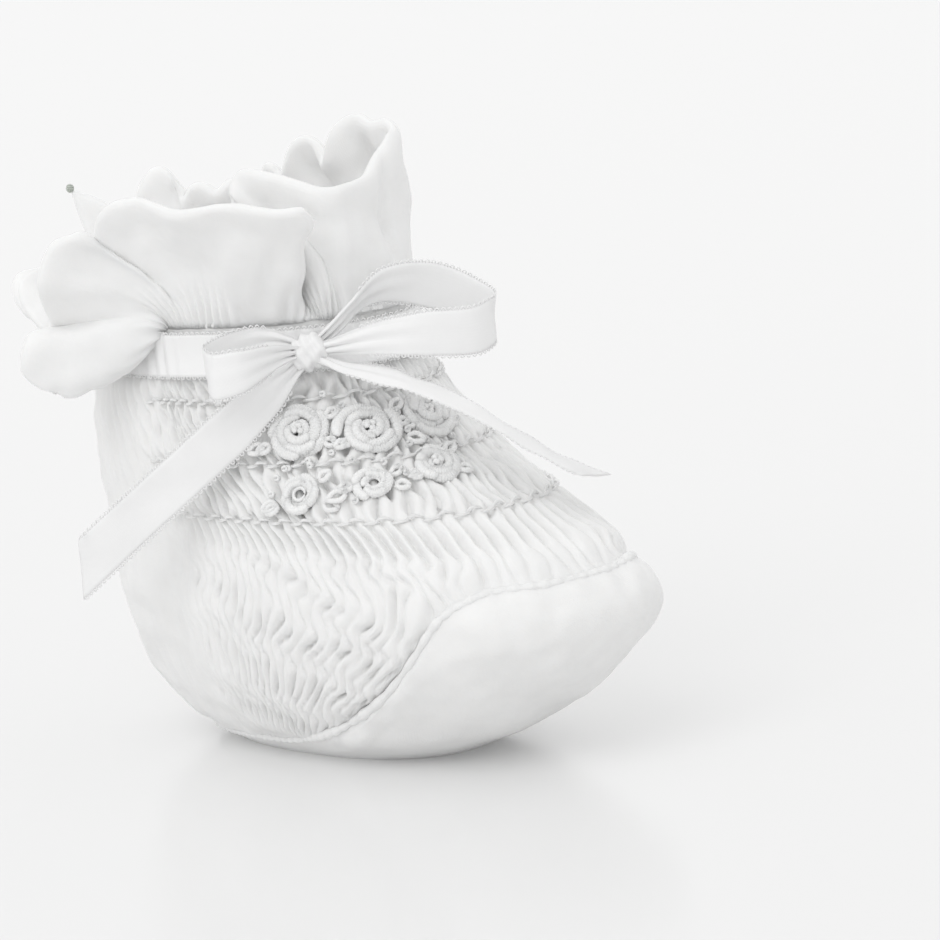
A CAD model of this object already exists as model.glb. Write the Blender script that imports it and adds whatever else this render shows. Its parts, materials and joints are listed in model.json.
"""The smocked baby bootie's visual model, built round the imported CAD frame.

Shapes are worked out in millimetres, in the row frame: +Z up, toe towards -Y. They become metres when a
mesh is made.
"""

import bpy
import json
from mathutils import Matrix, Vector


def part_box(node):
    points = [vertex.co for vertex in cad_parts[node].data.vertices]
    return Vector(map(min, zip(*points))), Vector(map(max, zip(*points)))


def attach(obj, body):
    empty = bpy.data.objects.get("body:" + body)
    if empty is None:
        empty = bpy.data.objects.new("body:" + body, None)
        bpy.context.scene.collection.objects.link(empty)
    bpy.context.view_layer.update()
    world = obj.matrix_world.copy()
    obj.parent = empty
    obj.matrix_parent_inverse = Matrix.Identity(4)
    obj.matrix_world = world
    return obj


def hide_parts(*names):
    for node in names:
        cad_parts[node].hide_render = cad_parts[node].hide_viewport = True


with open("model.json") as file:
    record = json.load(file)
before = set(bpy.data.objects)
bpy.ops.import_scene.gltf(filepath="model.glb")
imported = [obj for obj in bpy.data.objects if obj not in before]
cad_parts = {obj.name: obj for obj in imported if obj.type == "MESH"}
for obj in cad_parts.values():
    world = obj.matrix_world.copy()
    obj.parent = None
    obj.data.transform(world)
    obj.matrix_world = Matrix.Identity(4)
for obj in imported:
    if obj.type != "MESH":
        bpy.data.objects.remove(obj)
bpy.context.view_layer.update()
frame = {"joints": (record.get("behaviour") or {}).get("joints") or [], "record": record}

import json
from math import cos, pi, radians, sin, sqrt

import bpy
import numpy as np
from mathutils import Matrix, Vector

MM = 0.001
UP = np.array([0.0, 0.0, 1.0])

# ---- the bootie's driving dimensions -------------------------------------------------------------
# Levels of the body: height, toe end, heel end, half width, squareness of the toe, widest place.
BODY_LEVELS = np.array([
    (0.0, -25.0, 24.0, 12.5, 2.3, -5.0),
    (3.0, -34.0, 30.5, 17.0, 2.4, -6.0),
    (8.0, -43.5, 36.5, 20.6, 2.5, -7.0),
    (16.0, -54.0, 41.3, 23.3, 2.7, -6.0),
    (24.0, -56.5, 44.3, 24.3, 2.8, -5.0),
    (32.0, -48.0, 45.3, 23.7, 2.7, -3.0),
    (40.0, -34.0, 45.4, 23.0, 2.4, 3.0),
    (48.0, -23.5, 44.6, 22.2, 2.1, 8.0),
    (56.0, -16.5, 42.6, 21.2, 2.0, 12.0),
    (61.0, -14.0, 41.0, 20.5, 2.0, 13.5),
    (68.0, -14.0, 41.0, 20.5, 2.0, 13.5),
])
HEEL_SQUARENESS = 2.2
FLAT_BELOW = 18.0  # under this height an inset moves the outline up as well as in
# The seam between sole and upper, from the side: (y, z) from toe to heel.
SEAM_LINE = np.array([
    (-70.0, 28.4), (-54.0, 28.6), (-47.0, 28.2), (-43.0, 25.5), (-38.0, 19.5),
    (-31.0, 13.5), (-20.0, 7.4), (-8.0, 3.6), (10.0, 2.2), (60.0, 2.0),
])

RIBBON_LOW, RIBBON_HIGH = (corner[2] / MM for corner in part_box("ribbon_band"))
NECK_TOP = RIBBON_HIGH + 0.4
RIBBON_WIDTH = RIBBON_HIGH - RIBBON_LOW
WIDE = RIBBON_WIDTH / 2  # the ribbon's half width where it is not gathered
NECK_CENTRE = np.array([0.0, 13.5])
NECK_HALF = np.array([20.5, 27.5])
BODY_ROUND, NECK_ROUND = 236.0, 152.0  # the cloth's length round the foot, and the ribbon's round the ankle

PLEATS_ROUND = 102  # smocking pleats round the whole upper
PLEAT_DEPTH = 1.65
CABLE_HEIGHTS = (37.7, 45.5, 54.3)
FLOWERS = [  # plan angle from the front towards the wearer's right, height, radius, kind
    (46.5, 49.8, 4.5, "rose"),
    (23.5, 49.2, 4.3, "rose"),
    (-1.0, 50.0, 4.1, "rose"),
    (60.0, 41.4, 3.3, "eyelet"),
    (35.0, 42.3, 3.0, "eyelet"),
    (10.0, 43.6, 3.3, "rose"),
]


# ---- small mathematics ---------------------------------------------------------------------------
def through(xs, ys, x):
    """A smooth curve through the points (xs, ys), read at x. Its slope at each is the mean of its sides'."""
    xs, ys, x = np.asarray(xs, float), np.asarray(ys, float), np.asarray(x, float)
    slopes = np.gradient(ys, xs, axis=0)
    k = np.clip(np.searchsorted(xs, x, side="right") - 1, 0, len(xs) - 2)
    span = xs[k + 1] - xs[k]
    t = np.clip((x - xs[k]) / span, 0, 1)
    if ys.ndim > 1:
        span, t = span[..., None], t[..., None]
    rise = 3 * t**2 - 2 * t**3
    bend_in, bend_out = t**3 - 2 * t**2 + t, t**3 - t**2
    return ys[k] * (1 - rise) + ys[k + 1] * rise + span * (bend_in * slopes[k] + bend_out * slopes[k + 1])


def ease(x, low, high):
    """0 below low, 1 above high, and smooth between."""
    t = np.clip((np.asarray(x, float) - low) / (high - low), 0, 1)
    return t * t * (3 - 2 * t)


def ripple(points, size, seed, waves=14):
    """Smooth irregular noise from about -1 to 1, with folds about that size."""
    rng = np.random.RandomState(seed)
    ways = rng.normal(size=(waves, points.shape[-1]))
    ways /= np.linalg.norm(ways, axis=1)[:, None]
    ways *= (2 * pi / size) * rng.uniform(0.6, 1.4, (waves, 1))
    return np.sin(points @ ways.T + rng.uniform(0, 2 * pi, waves)).sum(-1) / sqrt(waves)


def run_along(path):
    """How far along a path each of its points is."""
    return np.concatenate([[0], np.cumsum(np.linalg.norm(np.diff(path, axis=0), axis=1))])


def read_path(at, run, path):
    """The points that far along a path."""
    return np.stack([np.interp(at, run, path[:, k]) for k in range(3)], -1)


def plane(across, up):
    """Flat cloth coordinates, from what each column and each row has."""
    return np.stack(np.broadcast_arrays(across, up), -1)


def unit(v):
    """Vectors of length 1 along v's last axis."""
    return v / np.maximum(np.linalg.norm(v, axis=-1, keepdims=True), 1e-9)


def grid_normals(grid, closed):
    """The normal at each point of a grid of rows and columns, closed round its columns or not."""
    down = np.gradient(grid, axis=0)
    if closed:
        along = (np.roll(grid, -1, axis=1) - np.roll(grid, 1, axis=1)) / 2
    else:
        along = np.gradient(grid, axis=1)
    return unit(np.cross(down, along))


# ---- meshes --------------------------------------------------------------------------------------
def placed(name, data):
    """A new object in the scene, with that mesh, light or camera."""
    obj = bpy.data.objects.new(name, data)
    bpy.context.scene.collection.objects.link(obj)
    return obj


class Shape:
    """Points in millimetres, faces and flat cloth coordinates, gathered before they become one mesh."""

    def __init__(self):
        self.points, self.faces, self.flat, self.count = [], [], [], 0

    def add(self, points, faces, flat=None):
        """Adds an island. flat has each point's place on the flat cloth, in millimetres."""
        points = np.asarray(points, float).reshape(-1, 3)
        flat = points[:, :2] if flat is None else np.asarray(flat, float).reshape(-1, 2)
        self.faces += [[i + self.count for i in face] for face in faces]
        self.points.append(points)
        self.flat.append(flat)
        self.count += len(points)

    def grid(self, grid, closed=False, flat=None, flip=False):
        """Adds a grid of rows and columns as quads. closed joins the last column to the first."""
        rows, cols = grid.shape[:2]
        faces = []
        for i in range(rows - 1):
            for j in range(cols if closed else cols - 1):
                a, b = i * cols + j, i * cols + (j + 1) % cols
                face = [a, b, b + cols, a + cols]
                faces.append(face[::-1] if flip else face)
        self.add(grid, faces, flat)

    def cloth(self, top, under, closed=False, flat=None, flip=False):
        """Adds both faces of a thickness of cloth as two grids, joined round their edges.

        Faces of top look along columns x rows and faces of under the other way, or the reverse if flipped.
        """
        rows, cols = top.shape[:2]
        start, below = self.count, rows * cols
        last = start + below - cols
        self.grid(top, closed, flat, flip)
        self.grid(under, closed, flat, not flip)
        rim = []
        if not closed:
            for a in range(start, last, cols):
                rim += [(a, a + cols), (a + 2 * cols - 1, a + cols - 1)]
        for j in range(cols if closed else cols - 1):
            k = (j + 1) % cols
            rim += [(start + k, start + j), (last + j, last + k)]
        for a, b in rim:
            a, b = (b, a) if flip else (a, b)
            self.faces.append([a, b, b + below, a + below])

    def cap(self, tips, first, last, sides, flat=None):
        """Closes both ends of a grid with fans to its two tips. first and last start its end rows."""
        start = self.count
        self.add(tips, [], flat)
        for j in range(sides):
            k = (j + 1) % sides
            self.faces.append([start, first + k, first + j])
            self.faces.append([start + 1, last + j, last + k])

    def tube(self, path, radius, sides=8):
        """Adds a round tube along a path, closed at both ends with a point."""
        path = np.asarray(path, float)
        radius = np.broadcast_to(radius, (len(path),))
        ahead = unit(np.gradient(path, axis=0))
        rings = []
        side = unit(np.cross(ahead[0], UP if abs(ahead[0] @ UP) <= 0.9 else np.array([1.0, 0.0, 0.0])))
        for p, a, r in zip(path, ahead, radius):
            side = unit(side - a * (side @ a))
            other = np.cross(a, side)
            turn = np.arange(sides) * 2 * pi / sides
            rings.append(p + r * (np.cos(turn)[:, None] * side + np.sin(turn)[:, None] * other))
        run = run_along(path)
        across = np.arange(sides) * 2 * pi * radius[0] / sides
        first, last = self.count, self.count + (len(path) - 1) * sides
        self.grid(np.array(rings), closed=True, flat=[(x, y) for x in run for y in across])
        tips = [path[0] - ahead[0] * radius[0] * 0.5, path[-1] + ahead[-1] * radius[-1] * 0.5]
        self.cap(tips, first, last, sides, [(0, 0), (run[-1], 0)])

    def piece(self, name, material, body, slot, replaced=()):
        """Makes the mesh in metres, with its material, riding on a body."""
        mesh = bpy.data.meshes.new(name)
        points = np.concatenate(self.points) * MM
        mesh.from_pydata(points.tolist(), [], self.faces)
        flat = np.concatenate(self.flat)
        layer = mesh.uv_layers.new(name="cloth")
        corner = np.empty(len(mesh.loops), int)
        mesh.loops.foreach_get("vertex_index", corner)
        layer.data.foreach_set("uv", flat[corner].ravel())
        mesh.polygons.foreach_set("use_smooth", [True] * len(mesh.polygons))
        mesh.materials.append(material)
        mesh.update()
        obj = placed(name, mesh)
        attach(obj, body)
        if replaced:
            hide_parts(*replaced)
        return obj


# ---- materials -----------------------------------------------------------------------------------
def feed(made, **inputs):
    """Sets or links a node's inputs: a socket links, and anything else is a value."""
    for key, value in inputs.items():
        socket = made.inputs[key.replace("_", " ")]
        if isinstance(value, bpy.types.NodeSocket):
            made.id_data.links.new(value, socket)
        else:
            socket.default_value = value
    return made


def node(tree, kind, **inputs):
    """A new node with its inputs set or linked."""
    return feed(tree.nodes.new(kind), **inputs)


def new_material(name, colour, roughness, sheen=0.0, specular=0.5):
    """A Principled material with its own sockets set, and its node tree."""
    material = bpy.data.materials.new(name)
    material.use_nodes = True
    shader = material.node_tree.nodes["Principled BSDF"]
    feed(shader, Base_Color=(*colour, 1), Roughness=roughness, Sheen_Weight=sheen, Sheen_Roughness=0.4,
         Specular_IOR_Level=specular)
    return material, material.node_tree, shader


def cloth_map(tree):
    """The flat cloth's coordinates, in millimetres."""
    made = tree.nodes.new("ShaderNodeUVMap")
    made.uv_map = "cloth"
    return made.outputs["UV"]


def threads(tree, spacing, direction, wobble=0.6):
    """Bands that far apart, in millimetres, across the flat cloth's X or Y."""
    made = node(tree, "ShaderNodeTexWave", Vector=cloth_map(tree), Scale=0.314 / spacing,
                Distortion=wobble, Detail=1.0, Detail_Scale=0.6)
    made.wave_type = "BANDS"
    made.bands_direction = direction
    return made.outputs["Fac"]


def maths(tree, operation, a, b):
    """One Math node's output."""
    made = tree.nodes.new("ShaderNodeMath")
    made.operation = operation
    for k, value in enumerate((a, b)):
        if isinstance(value, bpy.types.NodeSocket):
            tree.links.new(value, made.inputs[k])
        else:
            made.inputs[k].default_value = value
    return made.outputs[0]


def noise(tree, scale, detail, **inputs):
    """Noise through the solid, at that scale per metre."""
    place = node(tree, "ShaderNodeTexCoord").outputs["Object"]
    return node(tree, "ShaderNodeTexNoise", Vector=place, Scale=scale, Detail=detail, **inputs).outputs["Fac"]


def tint(tree, shader, low, high, size):
    """Colour that varies a little over the cloth, between low and high."""
    ramp = node(tree, "ShaderNodeValToRGB", Fac=noise(tree, 1 / (size * MM), 3.0))
    for end, place, colour in zip(ramp.color_ramp.elements, (0.3, 0.7), (low, high)):
        end.position, end.color = place, (*colour, 1)
    feed(shader, Base_Color=ramp.outputs["Color"])


def glowing(shader, weight, depth_mm):
    """Light that soaks into white cloth and comes out nearby."""
    feed(shader, Subsurface_Weight=weight, Subsurface_Radius=(1.0, 0.96, 0.92),
         Subsurface_Scale=depth_mm * MM)


def bump(tree, shader, height, distance_mm):
    """Fine relief on the shader's normal."""
    made = node(tree, "ShaderNodeBump", Height=height, Distance=distance_mm * MM, Strength=1.0)
    feed(shader, Normal=made.outputs["Normal"])


def cotton(name, low, high, thread=0.40, relief=0.013, glow=0.12):
    """Plain-woven cotton: crossing threads, slubs and soft creases."""
    material, tree, shader = new_material(name, high, 0.86, sheen=0.3, specular=0.25)
    weave = maths(tree, "MULTIPLY", threads(tree, thread, "X"), threads(tree, thread, "Y"))
    creases = noise(tree, 700.0, 4.0, Roughness=0.6)
    height = maths(tree, "ADD", weave, maths(tree, "MULTIPLY", creases, 1.6))
    bump(tree, shader, height, relief)
    tint(tree, shader, low, high, 5.0)
    glowing(shader, glow, 10 * glow)
    return material


def satin(name, low, high):
    """Satin ribbon: fine ribs across it and a soft gloss."""
    material, tree, shader = new_material(name, high, 0.3, sheen=0.15, specular=0.55)
    ribs = threads(tree, 0.16, "X", 0.2)
    floats = threads(tree, 0.5, "Y", 1.5)
    height = maths(tree, "ADD", ribs, maths(tree, "MULTIPLY", floats, 0.5))
    bump(tree, shader, height, 0.012)
    rough = node(tree, "ShaderNodeMapRange", Value=noise(tree, 260.0, 3.0), To_Min=0.24, To_Max=0.42)
    feed(shader, Roughness=rough.outputs["Result"], Anisotropic=0.5)
    tint(tree, shader, low, high, 9.0)
    return material


def thread_stuff(name, low, high):
    """Stranded embroidery thread: twisted plies with a slight sheen."""
    material, tree, shader = new_material(name, high, 0.55, sheen=0.35, specular=0.4)
    plies = threads(tree, 0.32, "DIAGONAL", 0.3)
    bump(tree, shader, plies, 0.045)
    tint(tree, shader, low, high, 2.0)
    glowing(shader, 0.25, 1.5)
    return material


# ---- the body's surface ----------------------------------------------------------------------------
def body_point(angle, z, inset=0.0):
    """Points of the body's outline. Angle is in radians, 0 along +X and a quarter turn at the heel."""
    angle, z = np.broadcast_arrays(np.asarray(angle, float), np.asarray(z, float))
    level = through(BODY_LEVELS[:, 0], BODY_LEVELS[:, 1:], np.clip(z, 0, BODY_LEVELS[-1, 0]))
    toe, heel, half, squareness, widest = np.moveaxis(level, -1, 0)
    c, s = np.cos(angle), np.sin(angle)
    power = np.where(s < 0, 2 / squareness, 2 / HEEL_SQUARENESS)
    reach = np.where(s < 0, widest - toe, heel - widest) - inset
    x = (half - inset) * np.abs(c) ** power * np.sign(c)
    y = widest + reach * np.abs(s) ** power * np.sign(s)
    lift = inset * np.clip(1 - z / FLAT_BELOW, 0, 1)
    return np.stack([x, y, z + lift], -1)


def even_angles(count, z=30.0):
    """That many angles, evenly spaced along the body's outline at height z, from the heel round."""
    fine = np.linspace(pi / 2, 5 * pi / 2, 4001)
    outline = body_point(fine, np.full_like(fine, z))
    run = run_along(outline)
    return np.interp(np.arange(count) / count * run[-1], run, fine)


def seam_height(angle):
    """The height of the seam between sole and upper at each angle."""
    low, high = np.zeros_like(angle), np.full_like(angle, 60.0)
    for _ in range(30):
        middle = (low + high) / 2
        y = body_point(angle, middle)[..., 1]
        above = middle > through(SEAM_LINE[:, 0], SEAM_LINE[:, 1], y)
        high = np.where(above, middle, high)
        low = np.where(above, low, middle)
    return (low + high) / 2


def pleat_relief(turn, z, base):
    """How high the smocked cloth stands, from 0 in a valley to 1 on a pleat's ridge.

    turn counts pleats round the upper from the heel. Above the cable row neighbouring pleats meet and part
    by turns, as in honeycomb smocking; below it they wave together.
    """
    honeycomb = ease(z, 37.0, 39.5)
    drift = 0.9 * ripple(base, 34.0, 3) + 0.35 * ripple(base, 11.0, 4)
    upright = 0.21 * (z - 37.7) * np.clip((base[..., 0] - 5) / 14, -1, 1) * ease(-base[..., 1], -8.0, 12.0)
    turn = turn + upright
    relief = np.ones_like(turn)
    for step in (-1, 0, 1, 2):
        k = np.floor(turn) + step
        side = np.where(k % 2 == 0, 1.0, -1.0)
        beat = 2 * pi * z / 7.4 + drift * 2.4 + 0.42 * k
        slots = np.exp(-(((z - 35.0) / 2.3) ** 2))
        sway = (0.40 * np.sin(beat) + 0.12 * np.sin(1.9 * beat + 1.9 * k)) * (1 - slots)
        sway = sway * (1 - 0.3 * honeycomb)
        cells = 0.30 + 0.95 * side * np.sin(2 * pi * z / 6.2 + drift * 0.9 + 0.5 * np.sin(2.4 * k))
        crescents = 0.95 * np.sin(beat + 1.3) + 0.5 * np.sin(2.7 * k + 0.5 * z) - 0.55
        crescents = np.maximum(crescents, 1.6 * slots - 0.4)
        opening = np.clip(honeycomb * cells + (1 - honeycomb) * crescents, 0, 1)
        groove = 0.30 + 0.70 * opening
        width = 0.20 + 0.10 * opening
        away = (turn - k - sway) / width
        relief = np.minimum(relief, 1 - groove / (1 + away**2 + away**4))
    return relief


def smocked_share(base):
    """1 where the cloth is smocked, and 0 on the plain heel."""
    y, z = base[..., 1], base[..., 2]
    edge = 1.0 + 9.0 * ease(z, 34.0, 41.0)
    return 1 - ease(y, edge - 8.0, edge + 15.0)


def upper_grid(cols, rows):
    """The upper's outer face from under the frill down to the seam, with its pleats."""
    angle = even_angles(cols)
    bottom = seam_height(angle)
    share = np.linspace(0, 1, rows)[:, None] ** 0.92
    z = (NECK_TOP + 0.6) * (1 - share) + (bottom - 0.1) * share
    base = body_point(angle[None, :], z)
    normal = grid_normals(base, True)
    turn = np.broadcast_to(np.arange(cols) / cols * PLEATS_ROUND, z.shape)
    relief = pleat_relief(turn, z, base)
    from_seam = z - bottom[None, :]
    smocked = smocked_share(base)
    under_ribbon = ease(z, RIBBON_LOW - 1.5, RIBBON_LOW + 1.0)
    depth = PLEAT_DEPTH * smocked * (1 - 0.6 * under_ribbon)
    pull = (1 - ease(from_seam, 0.0, 3.0)) * (0.3 + 0.7 * ease(bottom[None, :], 3.0, 9.0))
    height = -depth * (1 - relief) * ease(from_seam, 0.0, 2.0) - pull * (0.9 * smocked + 0.5)
    height += 0.35 * (relief - 0.6) * smocked
    # The plain heel: gathers that fade downwards from the ribbon, and slack folds in the cloth.
    plain = 1 - smocked
    gathers = np.sin(2 * pi * (turn * 0.72 + 0.35 * ripple(base, 20.0, 8)))
    height += plain * (0.42 * gathers * ease(z, 36.0, 56.0) - 0.3)
    height += plain * 0.55 * ripple(base * [1, 1, 0.35], 15.0, 9) * ease(from_seam, 0, 8)
    height += 0.22 * ripple(base, 6.0, 10) * (0.4 + 0.6 * plain)
    height = height * (1 - 0.85 * under_ribbon) - 0.25 * under_ribbon
    rows_dent = sum(np.exp(-(((z - at) / 0.55) ** 2)) for at in CABLE_HEIGHTS)
    height -= 0.30 * rows_dent * smocked
    grid = base + normal * height[..., None]
    run = np.arange(cols) / cols * BODY_ROUND
    flat = plane(run[None, :], z + 1.4 * height)
    return grid, flat


def turned_in(edge, steps):
    """Rows that carry on from an edge towards the middle of the bootie: (how far in, how far up) each."""
    inward = unit(([*NECK_CENTRE, 0.0] - edge) * [1, 1, 0])
    return np.array([edge + inward * reach + [0, 0, rise] for reach, rise in steps])


def make_upper(material, grid, flat):
    """The upper, turned in over the lining at the neck and under the sole's edge at the seam."""
    neck_steps = ((3.0, 0.0), (2.3, 0.55), (1.3, 0.75), (0.5, 0.5))
    hem_steps = ((0.8, -0.1), (1.8, 0.2))
    neck, hem = turned_in(grid[0], neck_steps), turned_in(grid[-1], hem_steps)
    flat_neck = np.array([flat[0] + [0, reach] for reach, _ in neck_steps])
    flat_hem = np.array([flat[-1] - [0, reach] for reach, _ in hem_steps])
    shape = Shape()
    shape.grid(np.concatenate([neck, grid, hem]), closed=True,
               flat=np.concatenate([flat_neck, flat, flat_hem]), flip=True)
    shape.piece("upper_smocked_cotton", material, "bootie", "white_cotton", ["smocked_upper"])


def sole_grid(cols, side_rows, base_rows):
    """The sole from the seam down and in to the middle of its flat patch."""
    angle = even_angles(cols)
    top = seam_height(angle)
    share = np.linspace(0, 1, side_rows)[:, None] ** 1.15
    z = top[None, :] * (1 - share)
    base = body_point(angle[None, :], z)
    normal = grid_normals(base, True)
    start = base[0]
    steps_down = np.linalg.norm(np.diff(base, axis=0), axis=2)
    fall = np.concatenate([np.zeros((1, cols)), np.cumsum(steps_down, axis=0)])
    turn = np.broadcast_to(np.arange(cols) / cols * PLEATS_ROUND * 0.5, z.shape)
    big = ease(top[None, :], 3.0, 9.0)
    phase = 2 * pi * (turn + 0.28 * ripple(start, 14.0, 21)[None, :])
    pucker = (0.5 + 0.5 * np.sin(phase)) * np.exp(-fall / 3.2)
    second = (0.5 + 0.5 * np.sin(phase * 0.5 + 1.0)) * np.exp(-fall / 7.5)
    roll = ease(fall, 0.0, 1.6)
    height = -1.0 * (1 - roll) * big + 0.7 * ease(fall, 0, 3.5) * (1 - ease(fall, 6, 16)) * big - 0.2
    height -= (0.5 * pucker + 0.6 * second) * big * roll
    height += 0.35 * ripple(base, 16.0, 22) * ease(fall, 2, 10) * big
    height += 0.10 * ripple(base, 5.0, 23)
    height *= ease(z, 0.0, 2.5)
    height = np.where(height < 0, -0.75 * np.tanh(-height / 0.75), height)  # never as deep as the wadding
    side = base + normal * height[..., None]
    rim = side[-1]
    inner = [rim * [1 - t, 1 - t, 1] for t in np.linspace(0, 1, base_rows + 1)[1:-1]]
    grid = np.concatenate([turned_in(side[0], ((1.8, 0.2), (0.7, 0.1))), side, inner])
    grid[..., 2] = np.maximum(grid[..., 2], 0.0)
    return grid


def make_sole(material):
    shape = Shape()
    grid = sole_grid(480, 60, 14)
    centre = np.array([[0.0, 0.0, 0.0]])
    shape.grid(grid, closed=True, flat=grid[..., :2] + grid[..., 2:] * 0.7, flip=True)
    cols, rows = grid.shape[1], grid.shape[0]
    last = (rows - 1) * cols
    shape.add(centre, [])
    shape.faces += [[last + (j + 1) % cols, last + j, rows * cols] for j in range(cols)]
    obj = shape.piece("sole_padded_cotton", material, "bootie", "white_cotton", ["outer_sole"])
    return obj


# ---- linings ---------------------------------------------------------------------------------------
def make_lining(material):
    """The inside of the upper, from the mouth down to the footbed, gathered at the ankle."""
    cols, rows = 300, 60
    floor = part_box("sole_lining")[1][2] / MM
    angle = even_angles(cols)
    share = np.linspace(0, 1, rows)[:, None]
    z = (NECK_TOP + 1.2) * (1 - share) + (floor - 0.2) * share
    base = body_point(angle[None, :], z, 2.8)
    normal = grid_normals(base, True)
    turn = np.arange(cols) / cols * 2 * pi * 60
    gathers = np.sin(turn[None, :] + 2.0 * ripple(base, 16.0, 31))
    height = 0.28 * gathers * ease(z, 34.0, 58.0) + 0.25 * ripple(base, 12.0, 32)
    shape = Shape()
    grid = base + normal * (height - 0.3)[..., None]
    run = np.arange(cols) / cols * BODY_ROUND
    flat = plane(run[None, :], z)
    shape.grid(grid, closed=True, flat=flat)
    shape.grid(grid + normal * 0.3, closed=True, flat=flat, flip=True)
    return shape.piece("upper_lining_lawn", material, "bootie", "lining_cotton", ["upper_lining"])


def make_footbed(material):
    """The soft pad under the foot: crowned, and stitched down round its edge."""
    low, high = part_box("sole_lining")
    cols, rings = 200, 18
    angle = even_angles(cols)
    rim = body_point(angle, np.full(cols, low[2] / MM), 2.3)
    middle = rim.mean(0)
    shape = Shape()
    grid = []
    for t in np.linspace(0, 1, rings):
        ring = rim * (1 - t) + middle * t if t < 1 else rim * 0.002 + middle * 0.998
        dome = 0.55 * (1 - (1 - t) ** 4) + 0.10 * ripple(ring, 9.0, 41)
        grid.append(np.column_stack([ring[:, :2], np.full(cols, high[2] / MM) + dome]))
    grid = np.array(grid)
    under = grid.copy()
    under[..., 2] = low[2] / MM
    grid = np.concatenate([grid[::-1], under])
    shape.grid(grid, closed=True, flat=grid[..., :2], flip=True)
    obj = shape.piece("footbed_lawn", material, "bootie", "lining_cotton", ["sole_lining"])
    return obj


# ---- stitching ---------------------------------------------------------------------------------------
TABLE_COLUMNS, TABLE_LOW, TABLE_STEP = 1200, 1.0, 0.25  # the smooth face's table: round, lowest row, rows


def face_frame(angle, z):
    """(point, right, up, out) on the body's smooth face at an angle in radians and a height."""
    across = body_point(angle + 0.03, z) - body_point(angle - 0.03, z)
    rise = body_point(angle, z + 1.0) - body_point(angle, z - 1.0)
    right = unit(across)
    out = unit(np.cross(across, rise))
    return body_point(angle, z), right, np.cross(out, right), out


def front_angle(turn):
    """The body's angle, in radians, at a plan angle from the front towards the wearer's right."""
    return radians(270 - turn)


def bullion(shape, path, radius):
    """One bullion knot: a bar of tightly wrapped thread that follows a path."""
    path = np.asarray(path, float)
    run = run_along(path)
    fine = np.linspace(0, run[-1], max(8, int(run[-1] / 0.10)))
    line = read_path(fine, run, path)
    ends = np.sqrt(np.clip(1 - (2 * fine / run[-1] - 1) ** 6, 0.05, 1))
    wraps = 1 + 0.09 * np.cos(2 * pi * fine / 0.36)
    shape.tube(line, radius * ends * wraps, sides=9)


def make_flowers(material):
    """Bullion roses, each coiled round its middle, and flowers worked round an eyelet."""
    shape, centres = Shape(), Shape()
    rng = np.random.RandomState(5)
    for turn, z, radius, kind in FLOWERS:
        point, right, up, out = face_frame(front_angle(turn), z)

        def at(x, y, h):
            return point + right * x + up * y + out * h

        spin = rng.uniform(0, 2 * pi)
        rounds = [(0.84, 5, 0.0, 0.84), (0.52, 4, 0.2, 0.82), (0.24, 3, 0.45, 0.68)]
        if kind == "eyelet":
            rounds = [(0.76, 5, 0.05, 0.72), (0.50, 5, 0.20, 0.55)]
        for share, count, rise, thick in rounds:
            reach = radius * share
            for k in range(count):
                middle = spin + 2 * pi * k / count + 0.7 * share * 4
                sweep = 2 * pi / count * rng.uniform(1.35, 1.7)
                bend = np.linspace(-0.5, 0.5, 9)
                lap = reach * (1 + rng.uniform(0.2, 0.5) * bend) + 0.34 * rng.normal()
                lap = lap - 1.2 * (bend**2) * share
                tip = rise + 0.26 * rng.normal()
                arc = [at(r * cos(middle + b * sweep), r * sin(middle + b * sweep), tip + 0.45 * (0.5 + b))
                       for r, b in zip(lap, bend)]
                bullion(shape, arc, thick * rng.uniform(0.88, 1.1))
        if kind == "rose":
            for k in range(3):
                a = spin + 2 * pi * k / 3
                knot = [at(0.55 * cos(a + b), 0.55 * sin(a + b), 1.35) for b in (-0.9, 0, 0.9)]
                bullion(centres, knot, 0.45)
        else:
            ring = np.linspace(0, 2 * pi, 22)
            bullion(centres, [at(0.95 * cos(a), 0.95 * sin(a), 0.55) for a in ring], 0.28)
    shape.piece("bullion_roses", material, "bootie", "embroidery_thread", ["bullion_flowers"])
    centres.piece("rose_centres", material, "bootie", "embroidery_thread", ["flower_centres"])


def make_leaves(material):
    """Lazy-daisy leaves and french knots between the flowers."""
    shape = Shape()
    rng = np.random.RandomState(9)
    for turn, z, radius, _ in FLOWERS:
        point, right, up, out = face_frame(front_angle(turn), z)
        for lean in (-2.75, -0.35, 0.55, 3.5):
            way = np.array([cos(lean), sin(lean)]) + rng.normal(size=2) * 0.12
            side = np.array([-way[1], way[0]])
            root = way * (radius + 0.2)
            for hand in (-1, 1):
                bar = []
                for t in np.linspace(0, 1, 7):
                    x, y = root + way * 2.3 * t + side * hand * 0.75 * sin(pi * t) * (1.1 - 0.5 * t)
                    bar.append(point + right * x + up * y + out * (0.10 + 0.25 * sin(pi * t)))
                bullion(shape, bar, 0.40)
        for _ in range(5):
            a, r = rng.uniform(0, 2 * pi), radius + rng.uniform(0.9, 2.2)
            knot = point + right * r * cos(a) + up * r * sin(a) + out * 0.1
            coil = [knot + right * 0.28 * cos(t) + up * 0.28 * sin(t) + out * (0.05 + 0.05 * t)
                    for t in np.linspace(0, 9.5, 20)]
            shape.tube(np.array(coil), 0.26, sides=6)
    shape.piece("leaf_and_knot_stitches", material, "bootie", "embroidery_thread", ["leaf_stitches"])


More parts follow.
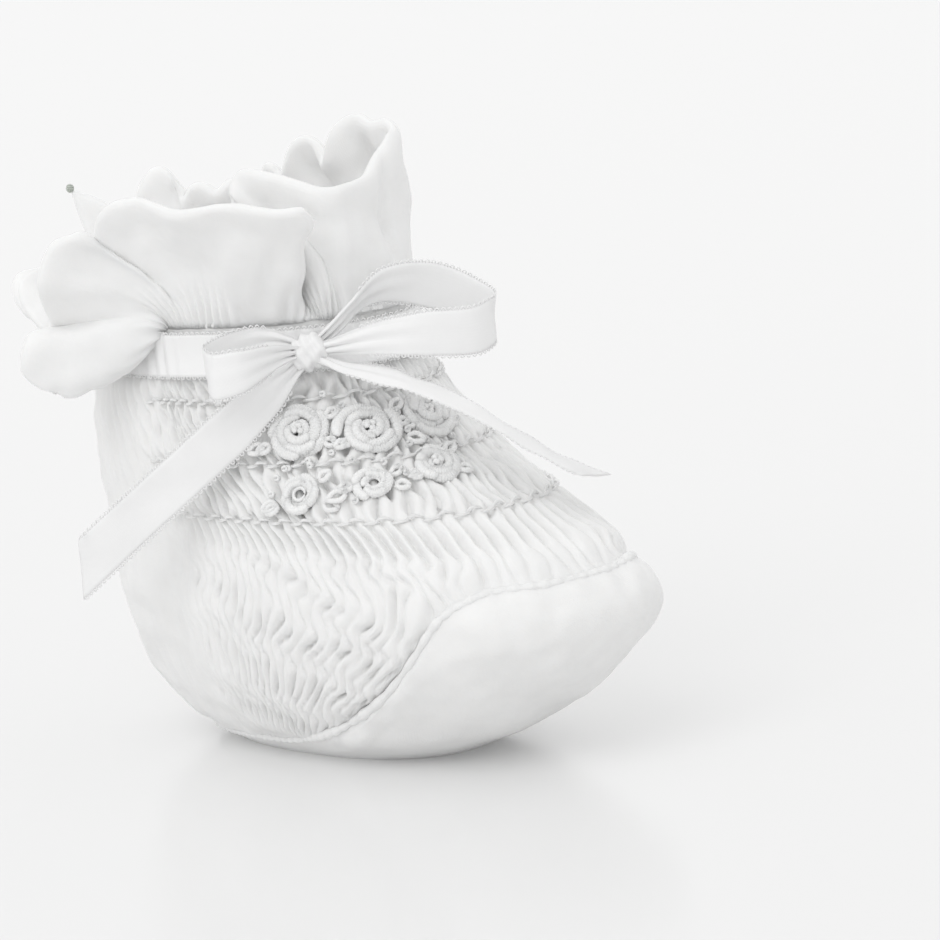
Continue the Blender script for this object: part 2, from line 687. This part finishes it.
def make_cable_rows(material):
    """Rows of cable stitch: one slanting stitch over each pair of pleats, thread up and down by turns."""
    shape = Shape()
    angle = even_angles(TABLE_COLUMNS)[None, :]
    base = body_point(angle, np.arange(TABLE_LOW, NECK_TOP + 1, TABLE_STEP)[:, None] + 0 * angle)
    normal = -grid_normals(base, True)

    def at(turn, z, out):
        j, i = turn / PLEATS_ROUND * TABLE_COLUMNS % TABLE_COLUMNS, (z - TABLE_LOW) / TABLE_STEP
        j0, i0 = np.floor(j).astype(int), np.floor(i).astype(int)
        fj, fi, j1 = (j - j0)[:, None], (i - i0)[:, None], (j0 + 1) % TABLE_COLUMNS
        low, high = (base[row, j0] * (1 - fj) + base[row, j1] * fj for row in (i0, i0 + 1))
        return low * (1 - fi) + high * fi + normal[i0, j0] * out[:, None]

    for z in CABLE_HEIGHTS:
        for k in range(PLEATS_ROUND):
            turns = np.linspace(k + 0.35, k + 1.65, 7)
            lift = 0.20 if k % 2 else -0.20
            bow = 1 - (2 * np.linspace(0, 1, 7) - 1) ** 2
            heights = z + lift * (0.4 + bow) + 0.12 * np.linspace(-1, 1, 7)
            line = at(turns, heights, -0.25 + 0.55 * bow)
            if smocked_share(line[3]) > 0.35:
                shape.tube(line, 0.27 * (0.6 + 0.4 * bow), sides=6)
    shape.piece("cable_stitches", material, "bootie", "embroidery_thread", ["cable_stitch_rows"])


def make_sole_seam(material):
    """The gathered seam round the sole: a soft rolled edge, drawn in at each stitch."""
    cols = 900
    angle = even_angles(cols)
    z = seam_height(angle)
    line = body_point(angle, z)
    normal = -grid_normals(body_point(angle[None, :], z + np.linspace(-1, 1, 3)[:, None]), True)[1]
    turn = np.arange(cols) / cols * PLEATS_ROUND
    bulge = 0.5 + 0.5 * np.cos(2 * pi * turn)
    uneven = ripple(line, 7.0, 51)
    radius = 0.60 + 0.16 * bulge + 0.10 * uneven
    big = ease(z, 1.0, 4.0)
    path = line - normal * ((0.80 - 0.10 * bulge) * (0.35 + 0.65 * big))[:, None]
    path[:, 2] -= 0.35 * big
    shape = Shape()
    sides = 8
    ahead = unit(np.roll(path, -1, 0) - np.roll(path, 1, 0))
    side = unit(np.cross(ahead, normal))
    turnround = np.arange(sides + 1) * 2 * pi / sides
    thick = (radius * (0.7 + 0.3 * big))[:, None]
    grid = np.array([path + thick * (cos(a) * side + sin(a) * normal) for a in turnround])
    grid[..., 2] = np.maximum(grid[..., 2], 0.15)
    shape.grid(grid, closed=True)
    shape.piece("sole_seam_gathers", material, "bootie", "white_cotton", ["sole_seam_roll"])


def make_back_seam(material, cloth, thread):
    """The centre-back seam: a narrow flat fell on the heel, with a row of running stitches each side."""
    half = 5  # columns of the upper's grid, to each side of the seam
    near = np.roll(cloth, half, axis=1)[:, :2 * half + 1]
    near = near[(near[:, half, 2] > 4.5) & (near[:, half, 2] < RIBBON_LOW - 0.3)]
    w = np.linspace(-1, 1, 2 * half + 1)
    normal = grid_normals(near, False)
    puff = 0.34 * np.sqrt(np.clip(1 - w**6, 0, 1)) - 0.04
    fell = near + normal * puff[None, :, None]
    flat = near[..., [0, 2]]
    shape, stitches = Shape(), Shape()
    shape.grid(fell, flat=flat, flip=True)
    shape.grid(near - normal * 0.2, flat=flat)
    for column in (2, 2 * half - 2):
        line = fell[:, column] + normal[:, column] * 0.05
        for first in range(1, len(line) - 3, 3):
            fine = np.linspace(0, 2, 7)
            bar = read_path(fine, range(3), line[first:first + 3])
            arch = 0.08 * np.sin(fine / 2 * pi)
            stitches.tube(bar + normal[first, column] * arch[:, None], 0.10, sides=6)
    shape.piece("back_seam_fell", material, "bootie", "white_cotton", ["back_seam"])
    stitches.piece("back_seam_stitches", thread, "bootie", "embroidery_thread")


# ---- frill -------------------------------------------------------------------------------------------
# The frill's folded edge as it stands: plan angle, reach beyond the neck, height. It turns back where the
# cloth folds. FRILL_ROOT gives the plan angle of the neck below some of those points.
FRILL_EDGE = [
    (97, 7, 72), (109, 12, 72), (116, 14.5, 71.5), (121, 15, 69), (123, 13, 65.5), (124, 10, 65),
    (128, 8, 69), (134, 9.5, 73), (139, 12, 72), (142, 12.5, 69.5), (146, 11, 66), (153, 8, 61.5),
    (166, 6.5, 57.8), (166, 9.0, 57.6), (162, 13.5, 57), (160.5, 16.5, 60), (161, 15.5, 64.5),
    (158, 10.5, 66), (163, 12.5, 69), (167, 14.5, 72.5), (168, 14, 76.5), (171, 12.5, 80), (174, 10, 80.5),
    (174, 6.5, 78.5),
    (178, 8, 82), (184, 8.5, 84.5), (191, 7, 85.5), (201, 7, 84.5), (210, 8.5, 84), (220, 9.5, 84),
    (231, 10.5, 83), (239, 10, 82.5), (240, 5, 80.5), (234, 0, 80), (224, -4, 80.5), (214, -7, 82),
    (208, -8, 84), (212, -9, 87), (224, -7, 87.5), (238, -4, 86.5), (249, 0, 84.5), (262, -1, 84.5),
    (279, -3, 85), (295, -3.5, 87.5), (308, -2, 89.5), (319, -0.5, 90), (326, -0.5, 91.5), (333, -2, 91),
    (340, -2.5, 92), (349, -3.5, 91.5), (356, -4.5, 89), (361, -4, 84.5), (365, -3.5, 86.8), (369, -3, 88.4),
    (376, -2.5, 88.4), (381, -3, 86.4), (384, -3, 83), (387, -3, 84.5), (392, -2.5, 84.4), (396, -3, 81.2),
    (402, -2, 82), (408, -2, 82.4), (413, -2.5, 80.8), (418, -1, 82.2), (423, 0, 81.8), (426, 0.5, 80),
    (427, 1.5, 82.6), (430, 3, 84.8), (434, 5, 84.6), (437, 6.5, 81.5), (438, 7, 77.5), (440, 8.5, 77.5),
    (444, 11.5, 80), (449, 15.6, 82.2),
]
FRILL_ROOT = [
    (0, 95), (4, 118), (9, 145), (11, 168), (13, 179), (15, 183), (17, 186), (20, 189), (23, 194),
    (26, 201), (29, 214), (31, 230), (33, 240), (36, 246), (39, 254), (41, 266), (43, 290), (45, 310),
    (47, 325), (50, 342), (52, 350), (56, 372), (59, 392), (62, 408), (65, 420), (68, 430), (70, 434),
    (73, 443),
]


# Where the frill is pushed in or out between its folds: plan angle at the neck, half width in degrees,
# how far out in millimetres, and the share of the way up where that starts and stops.
FRILL_TUCKS = [
    (241, 3.4, -8.5, 0.0, 0.8),
    (248, 2.2, 2.4, 0.0, 0.8),
    (232, 5.0, 1.4, 0.1, 0.9),
    (205, 6.0, -2.2, 0.0, 0.95),
    (217, 5.0, 1.2, 0.0, 0.9),
    (290, 5.0, -2.2, 0.1, 1.0),
    (312, 6.0, 1.2, 0.0, 1.0),
    (332, 7.0, 2.4, 0.1, 1.0),
]


def neck_oval(angle, grow, z):
    """Points on the neck's oval, grown outwards, at height z. Angle is in degrees."""
    a = np.radians(angle)
    return np.stack([NECK_CENTRE[0] + (NECK_HALF[0] + grow) * np.cos(a),
                     NECK_CENTRE[1] + (NECK_HALF[1] + grow) * np.sin(a), z + 0 * a], -1)


def frill_sheet(across, rows):
    """The frill's middle surface, from the neck to its edge, and each column's station."""
    edge = np.array(FRILL_EDGE, float)
    stations = np.arange(len(edge))
    t = np.linspace(0, len(edge) - 1, across)
    reach = through(stations, edge, t)
    root_at = np.array(FRILL_ROOT, float)
    root_angle = through(root_at[:, 0], root_at[:, 1], t)
    root = neck_oval(root_angle, -0.7, NECK_TOP + 0.1)
    tip = neck_oval(reach[:, 0], reach[:, 1], 0.0)
    tip[:, 2] = reach[:, 2]
    up = np.array([0, 0, 1.0])
    span = tip - root
    outward = unit(root * [1, 1, 0] - [*NECK_CENTRE, 0])
    lean = np.clip(reach[:, 1:2] / 14, 0, 1)
    corner = ease(t, len(edge) - 5, len(edge) - 1)[:, None]
    fall = ease(-reach[:, 2:3], -70, -58)
    root_way = unit(up * (1 - 0.8 * fall) + outward * (0.55 * lean + 0.5 * fall + 1.6 * corner))
    hem_way = unit(unit(span) + (outward * 0.25 - up * 0.30) * lean * (1 - corner) + up * 2.4 * corner)
    handle = (0.38 + 0.12 * corner) * np.linalg.norm(span, axis=1, keepdims=True)
    s = np.linspace(0, 1, rows)[:, None, None]
    b, c = root + root_way * handle, tip - hem_way * handle
    sheet = root * (1 - s) ** 3 + 3 * b * s * (1 - s) ** 2 + 3 * c * s**2 * (1 - s) + tip * s**3
    tucks = np.zeros((rows, across))
    for at, half, depth, first, last in FRILL_TUCKS:
        share = ease(s[:, 0], first, (first + last) / 2) * (1 - ease(s[:, 0], (first + last) / 2, last))
        tucks = tucks + depth * share * np.exp(-(((root_angle - at) / half) ** 2))[None, :]
    sag = 5.0 * fall * np.sin(pi * s**0.8)
    return sheet + outward * tucks[..., None] - up * sag, t


def relax(grid, rounds, share):
    """Evens out a cloth grid, as its stiffness would, and leaves its first rows where they are."""
    hold = ease(np.arange(grid.shape[0]) / grid.shape[0], 0.05, 0.3)[:, None, None]
    for _ in range(rounds):
        near = grid.copy()
        near[1:-1, 1:-1] = (grid[:-2, 1:-1] + grid[2:, 1:-1] + grid[1:-1, :-2] + grid[1:-1, 2:]) / 4
        near[-1, 1:-1] = (grid[-1, :-2] + grid[-1, 2:]) / 2
        grid = grid + (near - grid) * share * hold
    return grid


def make_frill(material):
    across, even_rows = 1180, 34
    sheet, t = frill_sheet(across, even_rows)
    sheet = relax(sheet, 30, 0.6)
    fold = np.linspace(0, 1, 8)
    s = np.concatenate([np.linspace(0, 0.94, 26)[:-1], 0.94 + 0.06 * np.sin(fold * pi / 2)])
    row = s * (even_rows - 1)
    low = np.minimum(np.floor(row).astype(int), even_rows - 2)
    share = (row - low)[:, None, None]
    sheet = sheet[low] * (1 - share) + sheet[low + 1] * share
    s = s[:, None]
    normal = grid_normals(sheet, False)
    run = run_along(sheet[-1])
    gathers = np.sin(2 * pi * (t[None, :] * 1.1 + 0.9 * ripple(sheet * [1, 1, 0.3], 15.0, 61)))
    uneven = 0.6 + 0.4 * ripple(sheet * [1, 1, 0.2], 12.0, 64)
    height = 0.55 * gathers * uneven * np.exp(-((s / 0.2) ** 2)) * ease(s, 0.0, 0.06)
    height = height + 0.40 * ripple(sheet, 11.0, 62) * ease(s, 0.1, 0.5) + 0.08 * ripple(sheet, 4.5, 63)
    # The edge is a soft fold, so it stands a little thicker than the doubled cloth below it.
    thick = 0.42 + 0.48 * ease(s, 0.72, 0.93)
    rounding = np.ones_like(s)
    rounding[-len(fold):, 0] = np.cos(fold * pi / 2)
    ends = np.sqrt(np.clip(1 - (1 - ease(np.minimum(t, t[-1] - t), 0, 0.35)) ** 2, 0.02, 1))[None, :]
    half = thick * rounding * ends
    outer = sheet + normal * (height + half)[..., None]
    inner = sheet + normal * (height - half)[..., None]
    wide = np.linalg.norm(np.diff(sheet, axis=0), axis=2).sum(0).mean()
    flat = plane(run[None, :], s * wide)
    shape = Shape()
    shape.cloth(outer, inner, flat=flat, flip=True)
    obj = shape.piece("frill_doubled_cotton", material, "bootie", "white_cotton", ["frill"])
    return outer[-1, -1]


def make_thread_end(material, corner):
    """The gathering thread's knotted end on the frill's free corner."""
    shape = Shape()
    knot = corner + [0.0, 0.1, 0.15]
    coil = [knot + [0.5 * cos(a) * sin(b), 0.5 * sin(a) * sin(b), 0.55 * cos(b)]
            for a, b in zip(np.linspace(0, 32, 120), np.linspace(0.25, pi - 0.25, 120))]
    shape.tube(np.array(coil), 0.18, sides=6)
    tail = [knot + [0.35 * t, -0.5 * t, -0.7 * t] for t in np.linspace(0, 1.2, 12)]
    shape.tube(np.array(tail), 0.12, sides=6)
    shape.piece("gathering_thread_end", material, "bootie", "grey_green_thread", ["frill_thread_end"])


# ---- ribbon ------------------------------------------------------------------------------------------
KNOT = np.array(frame["joints"][0]["pos_m"]) / MM


def bow_frame():
    """The bow's right, up and outward directions at the knot."""
    out = np.append((KNOT[:2] - NECK_CENTRE) / NECK_HALF**2, 0.0)
    out = unit(out)
    return np.cross(UP, out), UP, out


def picots(shape, edge, outward, step=0.95):
    """Small thread loops along a ribbon's edge."""
    run = run_along(edge)
    for at in np.arange(step * 0.6, run[-1] - step * 0.4, step):
        where = read_path(at + np.array([-0.26, 0.0, 0.26]), run, edge)
        way = read_path(at, run, outward)
        loop = [where[0] - way * 0.1, where[0] + way * 0.18, where[1] + way * 0.33,
                where[2] + way * 0.18, where[2] - way * 0.1]
        shape.tube(np.array(loop), 0.11, sides=5)


def ribbon(shape, stations, count, cup=0.0, seed=0, creases=0.0, cut=0.0):
    """A satin ribbon through stations of (right, up, out), the way its width points and half its width.

    cup bends its width into a shallow trough, and cut slants its last end.
    """
    right, up, out = bow_frame()
    axes = np.array([right, up, out])
    places = np.array([s[0] for s in stations], float)
    ways = unit(np.array([s[1] for s in stations], float))
    halves = np.array([s[2] for s in stations], float)
    steps = run_along(places)
    t = np.linspace(0, steps[-1], count)
    line = KNOT + through(steps, places, t) @ axes
    side = unit(through(steps, ways, t) @ axes)
    half = np.interp(t, steps, halves)
    ahead = unit(np.gradient(line, axis=0))
    side = unit(side - ahead * (side * ahead).sum(-1, keepdims=True))
    normal = np.cross(ahead, side)
    w = np.linspace(-1, 1, 13)
    gather = np.clip(1 - half / WIDE, 0, 1)
    fold = gather[:, None] * 0.55 * np.cos(w * 2.5 * pi)[None, :]
    bend = cup * (w**2)[None, :] * half[:, None] + fold
    slant = cut * w[None, :] * ease(t, t[-1] - 6.0, t[-1])[:, None]
    middle = line[:, None] + side[:, None] * (w[None, :] * half[:, None])[..., None]
    middle = middle + ahead[:, None] * slant[..., None]
    waves = creases * ripple(middle, 7.0, seed + 100)
    middle = middle + normal[:, None] * (bend + waves)[..., None]
    face = grid_normals(middle, False)
    thick = 0.13 * np.sqrt(np.clip(1.02 - w**8, 0.02, 1))[None, :, None]
    flat = plane(t[:, None], w[None, :] * WIDE)
    top, under = middle + face * thick, middle - face * thick
    shape.cloth(top, under, flat=flat, flip=True)
    keep = half > 0.55 * WIDE
    if keep.any():
        for column, sign in ((0, -1), (-1, 1)):
            outward = sign * unit(middle[:, -1] - middle[:, 0])
            picots(shape, middle[keep, column], outward[keep])
    return line


LOOP_RIGHT = [
    ((0.6, 0.5, 0.0), (-0.5, 0.6, 0.5), 0.9),
    ((3.4, 2.6, -0.2), (-0.5, 0.6, 0.5), 1.1),
    ((7.5, 6.0, -1.0), (-0.45, 0.5, 0.7), 1.6),
    ((12.0, 8.3, -1.8), (-0.2, 0.85, 0.4), 2.9),
    ((18.0, 7.8, -3.0), (0.0, 1.0, 0.2), WIDE),
    ((24.0, 5.0, -2.8), (0.1, 1.0, 0.1), WIDE),
    ((27.4, 2.4, 0.0), (0.0, 1.0, 0.1), WIDE),
    ((25.5, 1.4, 3.2), (0.0, 1.0, 0.1), WIDE),
    ((17.5, 1.6, 5.0), (0.0, 1.0, 0.0), 3.3),
    ((10.0, 1.5, 4.2), (0.0, 1.0, 0.0), 2.4),
    ((4.0, 0.7, 1.8), (0.0, 1.0, 0.0), 1.2),
    ((0.6, 0.2, 0.4), (0.0, 1.0, 0.0), 0.9),
]
LOOP_LEFT = [
    ((-0.6, 0.6, 0.2), (0.0, 1.0, 0.1), 0.9),
    ((-3.2, 1.9, 0.6), (0.0, 1.0, 0.1), 1.1),
    ((-7.0, 2.2, 1.4), (0.0, 1.0, 0.1), 2.4),
    ((-11.5, 1.0, 3.6), (0.0, 1.0, 0.0), 3.3),
    ((-14.6, -0.4, 6.8), (0.0, 1.0, 0.0), 3.4),
    ((-13.8, -1.0, 9.8), (0.0, 1.0, 0.0), 3.4),
    ((-10.2, -0.6, 10.2), (0.0, 1.0, 0.0), 3.2),
    ((-6.0, 0.2, 6.6), (0.0, 1.0, 0.0), 2.2),
    ((-2.6, 0.4, 2.6), (0.0, 1.0, 0.0), 1.1),
    ((-0.5, 0.2, 0.8), (0.0, 1.0, 0.0), 0.8),
]
TAIL_LEFT = [
    ((-0.4, -0.6, 0.4), (0.7, -0.7, 0.0), 0.9),
    ((-2.6, -2.4, 0.8), (0.7, -0.7, 0.0), 1.4),
    ((-6.5, -5.4, 1.6), (0.65, -0.75, 0.0), 2.8),
    ((-13.0, -10.6, 2.0), (0.62, -0.79, 0.0), WIDE),
    ((-22.0, -17.6, 0.4), (0.62, -0.79, 0.05), WIDE),
    ((-30.0, -24.0, -2.4), (0.62, -0.79, 0.1), WIDE),
    ((-36.8, -29.6, -5.0), (0.62, -0.79, 0.1), WIDE),
]
TAIL_RIGHT = [
    ((0.4, -0.6, 0.6), (0.1, -0.3, 0.95), 0.9),
    ((3.0, -1.6, 1.8), (0.1, -0.3, 0.95), 1.2),
    ((8.0, -2.8, 4.8), (0.12, -0.34, 0.93), 2.4),
    ((16.0, -5.6, 7.4), (0.1, -0.28, 0.95), 3.2),
    ((24.0, -10.2, 8.4), (0.08, -0.24, 0.97), WIDE),
    ((31.0, -15.4, 8.2), (0.08, -0.20, 0.98), WIDE),
    ((36.0, -18.9, 7.6), (0.08, -0.16, 0.98), WIDE),
    ((40.0, -21.2, 6.8), (0.10, -0.18, 0.98), WIDE),
]


def make_bow(material):
    """The two loops and the two tails, each on its own body."""
    for name, body, stations, cup, cut in (
        ("bow_loop_right_satin", "loop_right", LOOP_RIGHT, 0.0, 0.0),
        ("bow_loop_left_satin", "loop_left", LOOP_LEFT, 0.0, 0.0),
        ("ribbon_tail_left_satin", "tail_left", TAIL_LEFT, 0.06, 3.0),
        ("ribbon_tail_right_satin", "tail_right", TAIL_RIGHT, 0.05, -3.0),
    ):
        shape = Shape()
        line = ribbon(shape, stations, 110, cup=cup, seed=len(name), creases=0.12, cut=cut)
        obj = shape.piece(name, material, body, "satin_ribbon", [frame_node(body)])


def frame_node(body):
    """The CAD node that is all of a body."""
    return frame["record"]["behaviour"]["bodies"][body][0]


def make_ribbon_band(material):
    """The ribbon round the ankle, creased where it is drawn up."""
    cols, rows = 620, 15
    angle = even_angles(cols, 62.0)
    w = np.linspace(-1, 1, rows)
    z = (RIBBON_LOW + RIBBON_HIGH) / 2 + w * (WIDE - 0.25)
    base = body_point(angle[None, :], z[:, None])
    normal = -grid_normals(base, True)
    along = np.arange(cols) / cols * NECK_ROUND
    crease = np.sin(2 * pi * along / 2.6 + 1.4 * ripple(base * [1, 1, 0.3], 11.0, 71))
    crease = crease * (0.6 + 0.4 * ripple(base * [1, 1, 0.3], 23.0, 72))
    drawn_up = np.exp(-(((np.degrees(angle) - 190) / 5) ** 2))
    height = 0.70 + (0.30 + 0.45 * drawn_up) * crease + 0.5 * drawn_up
    outer = base + normal * height[..., None]
    inner = base + normal * (height - 0.22)[..., None]
    flat = plane(along[None, :], z[:, None])
    shape = Shape()
    shape.cloth(outer, inner, closed=True, flat=flat)
    for row, sign in ((0, -1), (rows - 1, 1)):
        edge = np.concatenate([outer[row], outer[row][:1]])
        picots(shape, edge, np.tile(UP * sign, (len(edge), 1)))
    shape.piece("ribbon_round_ankle", material, "bootie", "satin_ribbon", ["ribbon_band"])


def make_knot(material):
    """The bow's knot: the ribbon wrapped over once, pulled in and creased."""
    right, up, out = bow_frame()
    shape = Shape()
    rows, cols = 40, 64
    v = np.linspace(0, pi, rows)[:, None]
    u = np.arange(cols)[None, :] * 2 * pi / cols
    x = 2.75 * np.cos(v) + 0 * u
    fat = np.sin(v) ** 0.55
    folds = 0.26 * np.sin(5 * np.cos(v) * 2.1 + 0.8 * np.sin(u * 2)) + 0.12 * np.sin(7 * u + 3 * np.cos(v))
    radius = (2.55 + folds) * fat
    y, h = radius * np.cos(u), 0.92 * radius * np.sin(u)
    turn = radians(24)
    a = x * cos(turn) - y * sin(turn)
    b = x * sin(turn) + y * cos(turn)
    grid = KNOT + a[..., None] * right + b[..., None] * up + (h + 0.25)[..., None] * out
    shape.grid(grid, closed=True, flat=plane(u * 2.5, x), flip=True)
    shape.piece("bow_knot_satin", material, "bootie", "satin_ribbon", ["bow_knot"])


def make_wadding(material):
    """The wadding shut inside the sole: a pad under the foot that runs up as a thin wrap round the toe."""
    cols, rows = 160, 24
    angle = even_angles(cols)
    pad_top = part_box("sole_lining")[0][2] / MM - 0.1
    top = np.maximum(seam_height(angle) - 1.4, pad_top - 1.0)
    share = np.linspace(0, 1, rows)[:, None]
    outer = body_point(angle[None, :], top * (1 - share), 1.8)
    inner = body_point(angle[None, :], top * share, 2.4)
    inner[..., 2] = np.maximum(inner[..., 2], pad_top)
    over = [inner[0] * [t, t, 0] + [0, 0, pad_top] for t in (0.1, 0.4, 0.7)]
    under = [outer[-1] * [t, t, 1] for t in (0.7, 0.4, 0.1)]
    grid = np.concatenate([over, inner, outer, under])
    shape = Shape()
    shape.grid(grid, closed=True, flat=grid[..., :2], flip=True)
    ends = np.array([[0, 0, pad_top], [0, 0, outer[-1, 0, 2]]])
    last = (len(grid) - 1) * cols
    shape.add(ends, [])
    for j in range(cols):
        k = (j + 1) % cols
        shape.faces.append([j, k, len(grid) * cols])
        shape.faces.append([last + k, last + j, len(grid) * cols + 1])
    obj = shape.piece("sole_wadding_batting", material, "bootie", "wadding", ["sole_wadding"])


# ---- light, floor and camera ---------------------------------------------------------------------
VIEW_AZIMUTH, VIEW_ELEVATION, VIEW_ROLL = -40.0, 9.0, 6.0
VIEW_DISTANCE = 800.0
VIEW_WIDTH = 142.4  # what the camera takes in at that distance
VIEW_TARGET = (0.0, 11.0, 40.0)
VIEW_TURN = 1.996  # degrees that the camera looks to the right of the target
BACKDROP, CEILING = 0.915, 0.86  # how bright the room is low down and overhead
FLOOR_HALF = 6.0  # metres from the middle of the floor to its edges
FLOOR_GLOW = 0.07  # lifts the shadow under the sole, as a lit table would
SUN_POWER, SUN_SPREAD, SUN_AZIMUTH, SUN_ELEVATION = 0.62, 45.0, -72.0, 44.0


def direction(azimuth, elevation):
    """The way out from the origin at those angles in radians, azimuth from the toe."""
    return Vector((sin(azimuth) * cos(elevation), -cos(azimuth) * cos(elevation), sin(elevation)))


def make_camera():
    data = bpy.data.cameras.new("camera")
    data.sensor_width = 36.0
    data.lens = data.sensor_width * VIEW_DISTANCE / VIEW_WIDTH
    data.clip_start, data.clip_end = 0.01, 50
    cam = placed("camera", data)
    a, e, roll, turn = map(radians, (VIEW_AZIMUTH, VIEW_ELEVATION, VIEW_ROLL, VIEW_TURN))
    back = direction(a, e)
    level = Vector((cos(a), sin(a), 0))
    upright = back.cross(level)
    right = level * cos(roll) - upright * sin(roll)
    up = upright * cos(roll) + level * sin(roll)
    place = (Vector(VIEW_TARGET) + back * VIEW_DISTANCE) * MM
    back, right = back * cos(turn) - right * sin(turn), right * cos(turn) + back * sin(turn)
    cam.matrix_world = Matrix.Translation(place) @ Matrix((right, up, back)).transposed().to_4x4()
    bpy.context.scene.camera = cam


def make_studio():
    world = bpy.data.worlds.new("studio")
    world.use_nodes = True
    tree = world.node_tree
    coords = node(tree, "ShaderNodeTexCoord")
    height = node(tree, "ShaderNodeSeparateXYZ", Vector=coords.outputs["Generated"])
    sky = node(tree, "ShaderNodeMapRange", Value=height.outputs["Z"])
    feed(sky, From_Min=0.30, From_Max=0.60, To_Min=BACKDROP, To_Max=CEILING)
    feed(tree.nodes["Background"], Color=(1, 1, 1, 1), Strength=sky.outputs["Result"])
    bpy.context.scene.world = world
    bpy.context.scene.view_settings.view_transform = "Standard"
    sun = bpy.data.lights.new("overhead_softbox", "SUN")
    sun.energy, sun.angle = SUN_POWER, radians(SUN_SPREAD)
    lamp = placed("overhead_softbox", sun)
    back = direction(radians(SUN_AZIMUTH), radians(SUN_ELEVATION))
    lamp.rotation_mode = "QUATERNION"
    lamp.rotation_quaternion = back.to_track_quat("Z", "Y")
    mesh = bpy.data.meshes.new("floor")
    corners = [(x * FLOOR_HALF, y * FLOOR_HALF, 0) for x, y in ((-1, -1), (1, -1), (1, 1), (-1, 1))]
    mesh.from_pydata(corners, [], [(0, 1, 2, 3)])
    material, _, shader = new_material("floor_gloss_white", (0.79, 0.79, 0.79), 0.2, specular=0.5)
    feed(shader, Emission_Color=(1, 1, 1, 1), Emission_Strength=FLOOR_GLOW)
    mesh.materials.append(material)
    placed("floor", mesh)


make_camera()
make_studio()
white = cotton("cotton_white", (0.865, 0.865, 0.86), (0.90, 0.90, 0.895), glow=0.2)
frill_cotton = cotton("cotton_thin", (0.89, 0.89, 0.885), (0.92, 0.92, 0.915), glow=0.35)
lawn = cotton("lawn_lining", (0.86, 0.86, 0.85), (0.89, 0.89, 0.88), thread=0.34, relief=0.012)
floss = thread_stuff("embroidery_floss", (0.90, 0.90, 0.895), (0.94, 0.94, 0.935))
ribbon_satin = satin("satin_white", (0.90, 0.90, 0.90), (0.94, 0.94, 0.94))
grey_thread = thread_stuff("grey_green_thread", (0.47, 0.51, 0.45), (0.58, 0.62, 0.56))
batting = cotton("wadding_soft", (0.76, 0.76, 0.75), (0.82, 0.82, 0.81), thread=0.9, relief=0.2)

make_wadding(batting)
cloth, cloth_flat = upper_grid(9 * PLEATS_ROUND, 100)
make_upper(white, cloth, cloth_flat)
make_sole(white)
make_lining(lawn)
make_footbed(lawn)
make_sole_seam(white)
make_back_seam(white, cloth, floss)
make_cable_rows(floss)
make_flowers(floss)
make_leaves(floss)
make_thread_end(grey_thread, make_frill(frill_cotton))
make_ribbon_band(ribbon_satin)
make_knot(ribbon_satin)
make_bow(ribbon_satin)
